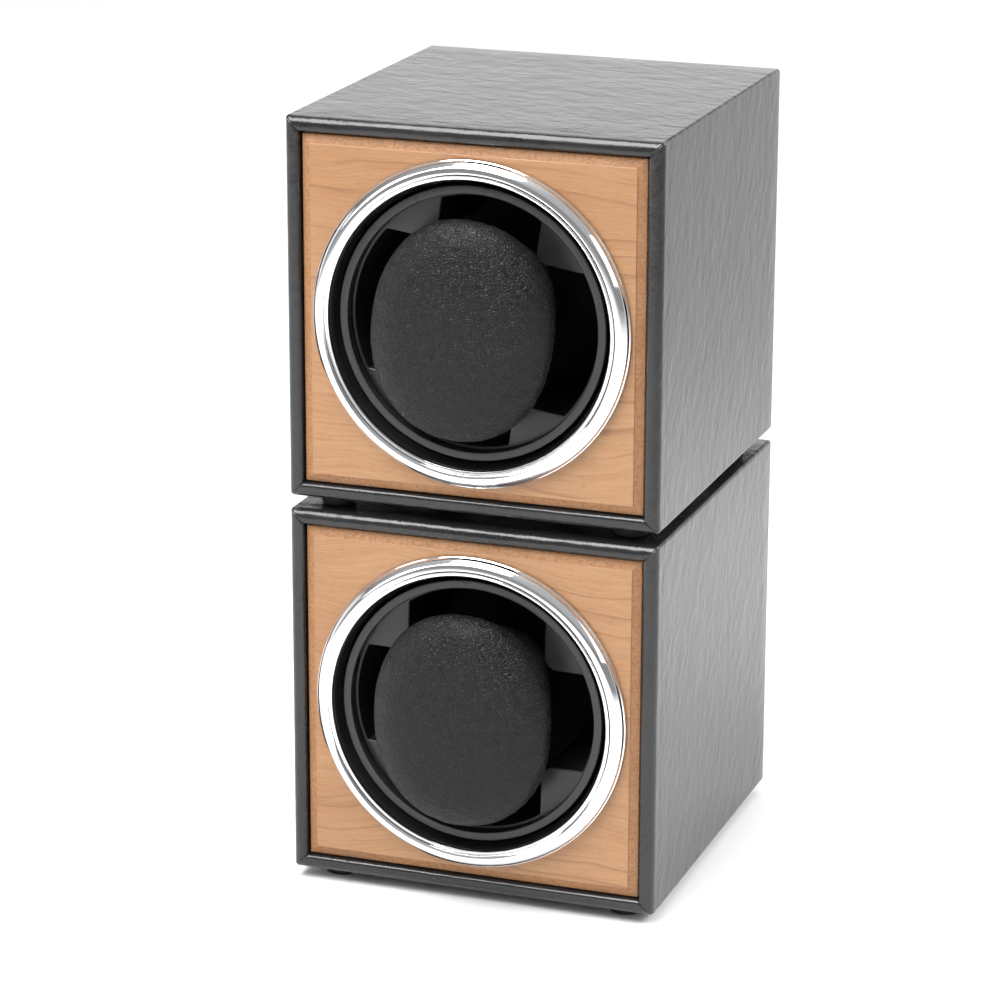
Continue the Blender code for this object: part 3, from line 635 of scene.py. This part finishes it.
def pocket_outline(grow):
    """The plus-shaped pocket's outline, grown outwards by a distance, anticlockwise from +X."""
    radius, wide, narrow = POCKET_RADIUS + grow, POCKET_WIDE + grow, POCKET_NARROW + grow
    corner = POCKET_CORNER - grow
    first = math.asin(narrow / radius)
    second = math.acos(wide / radius)
    quarter = []
    for k in range(12):
        angle = first * k / 12
        quarter.append((radius * math.cos(angle), radius * math.sin(angle)))
    start, bend = (radius * math.cos(first), narrow), (wide + corner, narrow)
    for k in range(10):
        quarter.append((start[0] + (bend[0] - start[0]) * k / 10, narrow))
    for k in range(10):
        angle = math.radians(270 - 90 * k / 10)
        quarter.append((wide + corner + corner * math.cos(angle), narrow + corner + corner * math.sin(angle)))
    top = radius * math.sin(second)
    for k in range(10):
        quarter.append((wide, narrow + corner + (top - narrow - corner) * k / 10))
    for k in range(12):
        angle = second + (math.pi / 2 - second) * k / 12
        quarter.append((radius * math.cos(angle), radius * math.sin(angle)))
    mirrored = [(-x, z) for x, z in quarter[1:]][::-1]
    upper = quarter + [(0.0, radius)] + mirrored
    return upper + [(-radius, 0.0)] + [(x, -z) for x, z in upper[1:]][::-1]


def insert_mesh():
    """Four soft-edged corner plates round a plus-shaped pocket, which takes the second material: a darker,
    duller plastic that paints shade into the recess.
    """
    soft = 0.45 * MM
    rings = []
    outline = pocket_outline(0.0)
    turns = [math.atan2(z, x) for x, z in outline]

    def circle(radius, y):
        return [(radius * math.cos(t), y, radius * math.sin(t)) for t in turns]

    rings.append([(0.0, INSERT_BACK, 0.0)])
    rings.append(circle(INSERT_RADIUS, INSERT_BACK))
    rings.append(circle(INSERT_RADIUS, PLATE_FRONT + 0.2 * MM))
    rings.append(circle(INSERT_RADIUS - 0.2 * MM, PLATE_FRONT))
    for step in range(6):
        angle = math.radians(90 * step / 5)
        grown = pocket_outline(soft * (1 - math.sin(angle)))
        y = PLATE_FRONT + soft * (1 - math.cos(angle))
        rings.append([(x, y, z) for x, z in grown])
    rings.append([(x, POCKET_FLOOR - 0.6 * MM, z) for x, z in outline])
    rings.append([(x, POCKET_FLOOR, z) for x, z in pocket_outline(-0.6 * MM)])
    rings.append([(x * 0.4, POCKET_FLOOR, z * 0.4) for x, z in outline])
    rings.append([(0.0, POCKET_FLOOR, 0.0)])
    mesh = lofted("pocket_plates", rings, sharp=40)
    for polygon in mesh.polygons:
        x, y, z = polygon.center
        # the pocket's walls and floor take the painted-shade material
        in_painted_shade = y > PLATE_FRONT + 1.0 * MM and math.hypot(x, z) < INSERT_RADIUS - 0.1 * MM
        polygon.material_index = 1 if in_painted_shade else 0
    return mesh


# ---------------------------------------------------------------- pillow
PILLOW_FRONT = -17.0 * MM
PILLOW_WIDEST = -7.0 * MM
PILLOW_NECK = 3.0 * MM
PILLOW_BACK = 33.0 * MM
PILLOW_SQUARENESS = (2.15, 3.0)
PILLOW_TAPER = 0.32
PILLOW_GROW = 10.0

# How much of the simulated swell the pillow keeps, and the least and most it may stand out.
PILLOW_START_INSET = 0.7 * MM
SWELL_BASE = 0.35
SWELL_SHARE = 0.25
SWELL_LIMIT = 0.9
CLOTH_STEPS = 20


def pillow_rings(inset, around, front_steps=26, back_steps=22):
    """Sections of the egg-shaped cushion, front to back, each a squarish oval."""
    sections = []
    for step in range(1, front_steps + 1):
        angle = math.radians(90 * step / front_steps)
        reach = math.sin(angle) ** 0.85
        y = PILLOW_WIDEST + (PILLOW_FRONT + inset - PILLOW_WIDEST) * math.cos(angle) ** 0.8
        sections.append((y, 29.0 * MM * reach, 34.5 * MM * reach))
    neck_steps = 12
    for step in range(1, neck_steps + 1):
        t = step / neck_steps
        ease = t * t * (3 - 2 * t)
        y = PILLOW_WIDEST + (PILLOW_NECK - PILLOW_WIDEST) * t
        sections.append((y, (29.0 - 3.8 * ease) * MM, (34.5 - 9.5 * ease) * MM))
    depth = PILLOW_BACK - inset - PILLOW_NECK
    for step in range(1, back_steps):
        angle = math.radians(90 * step / back_steps)
        reach = math.cos(angle) ** 0.5
        narrowing = 1 - PILLOW_TAPER * math.sin(angle)
        y = PILLOW_NECK + depth * math.sin(angle)
        sections.append((y, 25.2 * MM * narrowing * reach, 25.0 * MM * reach))
    rings = [[(0.0, PILLOW_FRONT + inset, 0.0)]]
    for y, wide, high in sections:
        wide, high = max(wide - inset, 0.2 * MM), max(high - inset, 0.2 * MM)
        squareness = np.interp(y, (PILLOW_WIDEST, PILLOW_NECK), PILLOW_SQUARENESS)
        power = 2 / float(squareness)
        ring = []
        for side in range(around):
            angle = math.tau * side / around
            x = wide * math.copysign(abs(math.cos(angle)) ** power, math.cos(angle))
            z = high * math.copysign(abs(math.sin(angle)) ** power, math.sin(angle))
            ring.append((x, y, z))
        rings.append(ring)
    rings.append([(0.0, PILLOW_BACK - inset, 0.0)])
    return rings


def evaluated_mesh(obj):
    graph = bpy.context.evaluated_depsgraph_get()
    graph.update()
    return bpy.data.meshes.new_from_object(obj.evaluated_get(graph))


def pillow_mesh():
    """The cushion, slightly swollen by a cloth simulation, then seamed.

    The simulation works on a form PILLOW_GROW times too large. Only its outward swell is kept.
    """
    start = lofted("pillow_start", pillow_rings(PILLOW_START_INSET, 96), sharp=60)
    start.transform(Matrix.Scale(PILLOW_GROW, 4))
    obj = bpy.data.objects.new("pillow_start", start)
    scene = bpy.context.scene
    scene.collection.objects.link(obj)
    remesh = obj.modifiers.new("Remesh", "REMESH")
    remesh.mode = "VOXEL"
    remesh.voxel_size = 1.5 * MM * PILLOW_GROW
    obj.data = evaluated_mesh(obj)
    obj.modifiers.clear()
    rest = np.array([v.co for v in obj.data.vertices])
    outward = np.array([v.normal for v in obj.data.vertices])
    held = obj.vertex_groups.new(name="held")
    for index, (_, y, _) in enumerate(rest):
        t = (y / PILLOW_GROW - (PILLOW_WIDEST + 3 * MM)) / (5 * MM)
        held.add([index], min(1.0, max(0.0, t)), "REPLACE")
    cloth = obj.modifiers.new("Cloth", "CLOTH")
    cloth.settings.use_pressure = True
    cloth.settings.uniform_pressure_force = 4.0
    cloth.settings.effector_weights.gravity = 0.0
    cloth.settings.vertex_group_mass = "held"
    cloth.point_cache.frame_end = CLOTH_STEPS
    for step in range(1, CLOTH_STEPS + 1):
        scene.frame_set(step)
    moved = evaluated_mesh(obj)
    scene.frame_set(1)
    after = np.array([v.co for v in moved.vertices])
    swell = np.sum((after - rest) * outward, axis=1) / (PILLOW_GROW * MM)
    print("pillow swell, mm:", [round(float(np.percentile(swell, part)), 2) for part in (0, 25, 50, 75, 100)])
    settled = np.clip(SWELL_BASE + SWELL_SHARE * swell, 0.0, SWELL_LIMIT) * PILLOW_GROW * MM
    moved.vertices.foreach_set("co", (rest + settled[:, None] * outward).astype(np.float32).ravel())
    moved.transform(Matrix.Scale(1 / PILLOW_GROW, 4))
    obj.modifiers.clear()
    obj.data = moved
    fine = obj.modifiers.new("Fine", "SUBSURF")
    fine.levels = 1
    mesh = evaluated_mesh(obj)
    bpy.data.objects.remove(obj)
    mesh.shade_smooth()
    return seamed(mesh)


SEAM_Y = -4.0 * MM


def seamed(mesh):
    """Draws the cover in along its seam, with small puckers on both sides of it."""
    points = np.array([v.co for v in mesh.vertices])
    turn = np.arctan2(points[:, 2], points[:, 0])
    wander = 0.35 * MM * np.sin(3 * turn + 0.7) + 0.2 * MM * np.sin(7 * turn)
    away = points[:, 1] - (SEAM_Y + wander)
    groove = 0.75 * MM * np.exp(-((away / (0.7 * MM)) ** 2))
    pucker = 0.16 * MM * np.exp(-((away / (2.6 * MM)) ** 2)) * np.cos(52 * turn + 1.5 * np.sin(5 * turn))
    reach = np.hypot(points[:, 0], points[:, 2])
    grow = 1 + (pucker - groove) / np.maximum(reach, 5 * MM)
    points[:, 0] *= grow
    points[:, 2] *= grow
    mesh.vertices.foreach_set("co", points.astype(np.float32).ravel())
    mesh.update()
    return mesh


# ---------------------------------------------------------------- back and feet
def back_panel_mesh():
    """The rear board with softened edges, before its holes are cut."""
    half, front, back = 54.2 * MM, 118.4 * MM, 121.4 * MM
    fractions = np.linspace(0, 1, 24)[:-1]
    soft = 0.5 * MM
    rings = [[(0.0, front, 0.0)]]
    levels = [
        (half, front),
        (half, back - soft),
        (half - 0.15 * MM, back - 0.15 * MM),
        (half - soft, back),
        (half - 3 * soft, back),
    ]
    rings += [square_ring(size, 1.0 * MM, y, fractions, 5) for size, y in levels]
    rings.append([(0.0, back, 0.0)])
    return lofted("rear_panel", rings, sharp=30)


def with_holes(mesh, holes):
    """Cuts round holes along Y, each (x, z, radius), and keeps the flat faces flat."""
    target = bpy.data.objects.new("target", mesh)
    bpy.context.scene.collection.objects.link(target)
    helpers = []
    for x, z, radius in holes:
        outline = [(0, 0.10), (radius, 0.10), (radius, 0.14), (0, 0.14)]
        cutter = lathe("cutter", outline, 48, (x, z), closed=False)
        helper = bpy.data.objects.new("cutter", cutter)
        bpy.context.scene.collection.objects.link(helper)
        helpers.append(helper)
        hole = target.modifiers.new("Hole", "BOOLEAN")
        hole.solver = "EXACT"
        hole.object = helper
    result = evaluated_mesh(target)
    for obj in [target, *helpers]:
        bpy.data.objects.remove(obj)
    for face in result.polygons:
        face.use_smooth = abs(face.normal.y) < 0.999
    return result


KNOB_AT = (-24 * MM, -24 * MM)
SOCKET_AT = (24 * MM, -24 * MM)
SCREW_OFFSET = 49.5 * MM


def knob_marks_mesh():
    """Five printed dots round the knob, 67.5 degrees apart, the first where the pointer rests."""
    parts = []
    for number in range(5):
        angle = math.radians(90 - 67.5 * number)
        x, z = KNOB_AT[0] + 11.5 * MM * math.cos(angle), KNOB_AT[1] + 11.5 * MM * math.sin(angle)
        radius = (0.75 if number else 0.95) * MM
        profile = [(0, 121.35 * MM), (radius, 121.35 * MM), (radius, 121.45 * MM), (0, 121.45 * MM)]
        parts.append((lathe("dot", profile, 24, (x, z), closed=False), 0))
    return joined_meshes("knob_marks", parts)


def screw_mesh():
    """A pan head with a cross recess, on its own axis."""
    outline = [
        (0.0, 111.0, 0),
        (1.3, 111.0, 0.3),
        (1.3, 121.7, 0),
        (2.95, 121.7, 0.1),
        (2.95, 122.3, 0.5),
        (2.0, 123.25, 1.0),
        (0.0, 123.3, 0),
    ]
    profile = filleted([(r * MM, y * MM, f * MM) for r, y, f in outline], 4, closed=False)
    body = bpy.data.objects.new("screw", lathe("screw", profile, 40, closed=False, sharp=40))
    bpy.context.scene.collection.objects.link(body)
    helpers = []
    for wide, high in ((1.7, 0.36), (0.36, 1.7)):
        corners = [(x * wide * MM, z * high * MM) for x, z in ((-1, -1), (1, -1), (1, 1), (-1, 1))]
        rings = [[(x * k, y, z * k) for x, z in corners] for k, y in ((0.6, 122.3 * MM), (1.0, 123.5 * MM))]
        cross = lofted("cross", [[(0.0, 122.3 * MM, 0.0)], *rings, [(0.0, 123.5 * MM, 0.0)]])
        helper = bpy.data.objects.new("cross", cross)
        bpy.context.scene.collection.objects.link(helper)
        helpers.append(helper)
        slot = body.modifiers.new("Slot", "BOOLEAN")
        slot.solver = "EXACT"
        slot.object = helper
    mesh = evaluated_mesh(body)
    for obj in [body, *helpers]:
        bpy.data.objects.remove(obj)
    return mesh


def knob_mesh():
    """A ribbed knob on its spindle. The raised pointer takes the second material."""
    ribs = 30
    around = ribs * 8
    rings = [[(0.0, 113.4 * MM, 0.0)]]
    for radius, y, ribbed in (
        (1.6, 113.4, 0),
        (1.6, 123.4, 0),
        (8.5, 123.4, 0),
        (8.8, 123.7, 0),
        (8.8, 125.2, 0),
        (8.5, 125.5, 1),
        (8.1, 129.4, 1),
        (7.75, 130.1, 0.4),
        (7.2, 130.5, 0),
        (5.2, 130.5, 0),
        (4.9, 130.3, 0),
    ):
        ring = []
        for k in range(around):
            turn = math.tau * k / around
            r = radius + ribbed * 0.16 * (math.cos(ribs * turn) - 1)
            ring.append((r * MM * math.cos(turn), y * MM, r * MM * math.sin(turn)))
        rings.append(ring)
    rings.append([(0.0, 130.3 * MM, 0.0)])
    knob = lofted("knob", rings, sharp=30)
    half = 0.6 * MM
    fractions = np.linspace(0, 1, 4)[:-1]
    pointer_rings = []
    for inset, y in ((0.0, 130.0 * MM), (0.0, 131.2 * MM), (0.2 * MM, 131.45 * MM)):
        flat = square_ring(1.0, 0.4, y, fractions, 3)
        pointer_rings.append(
            [(x * (half - inset), y, 4.0 * MM + z * (2.8 * MM - inset)) for x, y, z in flat]
        )
    ends = [[(0.0, 130.0 * MM, 4.0 * MM)], *pointer_rings, [(0.0, 131.45 * MM, 4.0 * MM)]]
    return joined_meshes("rear_knob", [(knob, 0), (lofted("pointer", ends, sharp=30), 1)])


def socket_mesh():
    """The power inlet: a flanged barrel, with a bare metal centre pin as its second material."""
    outline = [
        (0.0, 106.0, 0),
        (5.5, 106.0, 0.3),
        (5.5, 118.1, 0),
        (4.2, 118.1, 0),
        (4.2, 122.4, 0.35),
        (2.8, 122.4, 0.3),
        (2.8, 112.4, 0),
        (0.0, 112.4, 0),
    ]
    profile = filleted([(r * MM, y * MM, f * MM) for r, y, f in outline], 4, closed=False)
    barrel = lathe("barrel", profile, 48, closed=False, sharp=40)
    pin_outline = [(0.0, 112.3, 0), (1.0, 112.3, 0), (1.0, 121.4, 0.35), (0.0, 121.4, 0)]
    pin_profile = filleted([(r * MM, y * MM, f * MM) for r, y, f in pin_outline], 4, closed=False)
    pin = lathe("pin", pin_profile, 24, closed=False, sharp=40)
    return joined_meshes("power_socket", [(barrel, 0), (pin, 1)])


def foot_mesh():
    """A round rubber foot, narrower at its tread. Its axis is along Z, and its top is at 0."""
    outline = [
        (0.0, 0.0, 0),
        (6.0, 0.0, 0.2),
        (5.2, 3.2, 0.5),
        (3.6, 3.2, 0.2),
        (3.3, 2.9, 0.2),
        (0.0, 2.9, 0),
    ]
    profile = filleted([(r * MM, y * MM, f * MM) for r, y, f in outline], 4, closed=False)
    mesh = lathe("foot", profile, 48, closed=False, sharp=40)
    mesh.transform(Matrix.Rotation(math.radians(-90), 4, "X"))
    return mesh


# ---------------------------------------------------------------- assembly
def build_shapes():
    rear = back_panel_mesh()
    holes = [(*KNOB_AT, 3.7 * MM), (*SOCKET_AT, 4.5 * MM)]
    corners = ((-1, -1), (1, -1), (-1, 1), (1, 1))
    holes += [(side * SCREW_OFFSET, level * SCREW_OFFSET, 1.6 * MM) for side, level in corners]
    return {
        "cover": cover_mesh(),
        "wood": wood_mesh(),
        "ring": ring_mesh(),
        "bezel": bezel_mesh(),
        "rim": rim_mesh(),
        "insert": insert_mesh(),
        "pillow": pillow_mesh(),
        "back": with_holes(rear, holes),
        "marks": knob_marks_mesh(),
        "screw": screw_mesh(),
        "knob": knob_mesh(),
        "socket": socket_mesh(),
        "foot": foot_mesh(),
    }


def build_module(p, shapes, finish):
    case, drum = f"{p}_case", f"{p}_drum"
    still = turned_frame(p)
    pocket = turned_frame(p, INSERT_TURN[p])
    cushion = turned_frame(p, PILLOW_TURN[p])
    knob = still @ Matrix.Translation((KNOB_AT[0], 0, KNOB_AT[1]))
    socket = still @ Matrix.Translation((SOCKET_AT[0], 0, SOCKET_AT[1]))

    def add(name, shape, matrix, coats, body, node=None):
        materials = [finish[coat] for coat in coats]
        nodes = [f"{p}_{node}"] if node else []
        return add_piece(f"{p}_{name}", shapes[shape], matrix, materials, body, nodes)

    add("case_wrap", "cover", still, ["leatherette"], case, "leatherette_cover")
    add("wood_front", "wood", still, ["wood", "cut_wood"], case, "wood_front_panel")
    add("bright_ring", "ring", still, ["chrome"], case, "chrome_ring")
    add("bezel_funnel", "bezel", still, ["gloss_black"], case, "inner_bezel")
    add("rim_ring", "rim", still, ["rim"], drum, "drum_rim")
    # the pocket's second material is painted shade in the recess
    add("pocket_plates", "insert", pocket, ["insert", "lining"], drum, "drum_insert")
    pillow = add("soft_pillow", "pillow", cushion, ["pillow"], f"{p}_pillow", "pillow")
    add("rear_panel", "back", still, ["back"], case, "back_panel")
    add("knob_marks", "marks", still, ["ink"], case)
    add("rear_knob", "knob", knob, ["knob", "ink"], f"{p}_mode_knob", "mode_knob")
    add("power_socket", "socket", socket, ["socket", "steel"], case, "dc_inlet")
    for number in range(1, 5):
        low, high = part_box(f"{p}_back_screw_{number}")
        spot = Vector(((low.x + high.x) / 2, module_origin(p).y, (low.z + high.z) / 2))
        turn = Matrix.Rotation(math.radians(23 + 61 * number + (11 if p == "upper" else 0)), 4, "Y")
        place = Matrix.Translation(spot) @ turn
        add(f"rear_screw_{number}", "screw", place, ["screw"], case, f"back_screw_{number}")
        low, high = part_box(f"{p}_foot_{number}")
        spot = Vector(((low.x + high.x) / 2, (low.y + high.y) / 2, high.z))
        place = Matrix.Translation(spot)
        add(f"rubber_foot_{number}", "foot", place, ["rubber"], case, f"foot_{number}")


CAD_FINISHES = {
    "carcass": "board",
    "chassis_plate": "chassis",
    "shaft_bearing": "steel",
    "gear_motor": "steel",
    "drive_belt": "belt",
    "circuit_board": "circuit_board",
    "mode_switch": "switch",
    "drum_cup": "drum",
    "drum_shaft": "steel",
    "drum_pulley": "pulley",
    "motor_pulley": "brass",
}


def finish_cad_nodes(finish):
    for p in PREFIXES:
        for kind, name in CAD_FINISHES.items():
            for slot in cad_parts[f"{p}_{kind}"].material_slots:
                slot.material = finish[name]


# ---------------------------------------------------------------- studio
def build_camera():
    low, high = (Vector(corner) for corner in cad_bounds)
    camera = bpy.data.objects.new("camera", bpy.data.cameras.new("camera"))
    camera.data.lens = CAMERA_LENS
    camera.data.sensor_width = 36.0
    camera.data.clip_start = 0.05
    camera.data.clip_end = 60.0
    camera.location = (low + high) / 2 + Vector(CAMERA_OFFSET)
    turned = Matrix.Rotation(math.radians(CAMERA_TURN), 4, "Z")
    level = turned @ Matrix.Rotation(math.radians(90 - CAMERA_DROP), 4, "X")
    camera.rotation_euler = (level @ Matrix.Rotation(math.radians(CAMERA_ROLL), 4, "Z")).to_euler()
    bpy.context.scene.collection.objects.link(camera)
    bpy.context.scene.camera = camera


def softbox(name, place, size, radiance, aim=(0.0, 0.0, 0.12), spread=180):
    light = bpy.data.lights.new(name, "AREA")
    light.spread = math.radians(spread)
    light.shape = "RECTANGLE"
    light.size, light.size_y = size
    light.energy = radiance * math.pi * size[0] * size[1]
    obj = bpy.data.objects.new(name, light)
    obj.location = place
    obj.rotation_euler = (Vector(aim) - Vector(place)).to_track_quat("-Z", "Y").to_euler()
    bpy.context.scene.collection.objects.link(obj)


def build_world():
    """A white studio: a bright wall low down behind, a dimmer band above it, and a light ceiling."""
    world = bpy.data.worlds.new("studio")
    bpy.context.scene.world = world
    world.use_nodes = True
    tree = world.node_tree
    nodes, links = tree.nodes, tree.links
    split = nodes.new("ShaderNodeSeparateXYZ")
    links.new(nodes.new("ShaderNodeTexCoord").outputs["Generated"], split.inputs[0])

    def ramp(stops):
        made = nodes.new("ShaderNodeValToRGB")
        links.new(split.outputs["Z"], made.inputs[0])
        bands = made.color_ramp.elements
        while len(bands) < len(stops):
            bands.new(0.5)
        for band, (place, level) in zip(bands, stops):
            band.position = place
            band.color = (level, level, level * 1.01, 1.0)
        return made.outputs[0]

    behind = ramp([(0.0, 0.54), (0.27, 0.52), (0.34, 0.03), (0.84, 0.03), (0.92, 0.30), (1.0, 0.35)])
    ahead = ramp([(0.0, 0.12), (0.28, 0.10), (0.42, 0.18), (0.85, 0.20), (1.0, 0.35)])
    side = nodes.new("ShaderNodeMapRange")
    side.inputs["From Min"].default_value = -0.25
    side.inputs["From Max"].default_value = 0.25
    links.new(split.outputs["Y"], side.inputs["Value"])
    both = nodes.new("ShaderNodeMix")
    both.data_type = "RGBA"
    links.new(side.outputs[0], both.inputs[0])
    links.new(ahead, both.inputs[6])
    links.new(behind, both.inputs[7])
    background = nodes["Background"]
    links.new(both.outputs[2], background.inputs["Color"])
    background.inputs["Strength"].default_value = 2.6


def build_floor():
    """A plain pale floor that glows far behind the box and to its sides, standing in for a bright backdrop.
    """
    f = Finish("pale_floor", Roughness=0.9, Emission_Color=(1.0, 1.0, 1.0, 1.0))
    mottle = f.noise(f.place, 3.0, 2.0)
    split = f.node("ShaderNodeSeparateXYZ", {0: f.place})
    away = f.math("MAXIMUM", split.outputs["Y"], f.math("ABSOLUTE", split.outputs["X"], 0.0))
    not_ahead = f.span(split.outputs["Y"], -0.8, 0.0, 0.0, 0.75)
    f.use(
        Base_Color=f.mix(f.span(mottle, 0.3, 0.7), (0.86, 0.86, 0.86), (0.88, 0.88, 0.88)),
        # the floor glows further from the box, a glow that stands in for a bright backdrop
        Emission_Strength=f.math("MULTIPLY", f.span(away, 1.5, 3.2, smooth=True), not_ahead),
    )
    half = 12.0
    corners = [(-half, -half, 0.0), (half, -half, 0.0), (half, half, 0.0), (-half, half, 0.0)]
    mesh = bpy.data.meshes.new("floor")
    mesh.from_pydata(corners, [], [(0, 1, 2, 3)])
    mesh.materials.append(f.material)
    floor = bpy.data.objects.new("floor", mesh)
    bpy.context.scene.collection.objects.link(floor)


def build_studio():
    bpy.context.scene.view_settings.view_transform = "Standard"
    build_world()
    build_floor()
    softbox("overhead_softbox", (-0.28, -0.62, 1.25), (0.70, 0.95), 12.2)
    softbox("left_softbox", (-1.10, -0.95, 0.75), (0.60, 0.80), 4.0)
    softbox("right_softbox", (1.30, -0.60, 0.80), (0.40, 0.70), 1.5)
    softbox("rear_softbox", (0.75, 0.45, 0.70), (0.45, 0.45), 2.7, (0.15, -0.05, 0.0), 70)
    softbox("floor_softbox", (0.0, 2.20, 2.20), (3.0, 2.0), 2.4, (0.0, 1.60, 0.0))


def main():
    build_camera()
    build_studio()
    finish = make_finishes()
    shapes = build_shapes()
    for p in PREFIXES:
        build_module(p, shapes, finish)
    finish_cad_nodes(finish)


main()
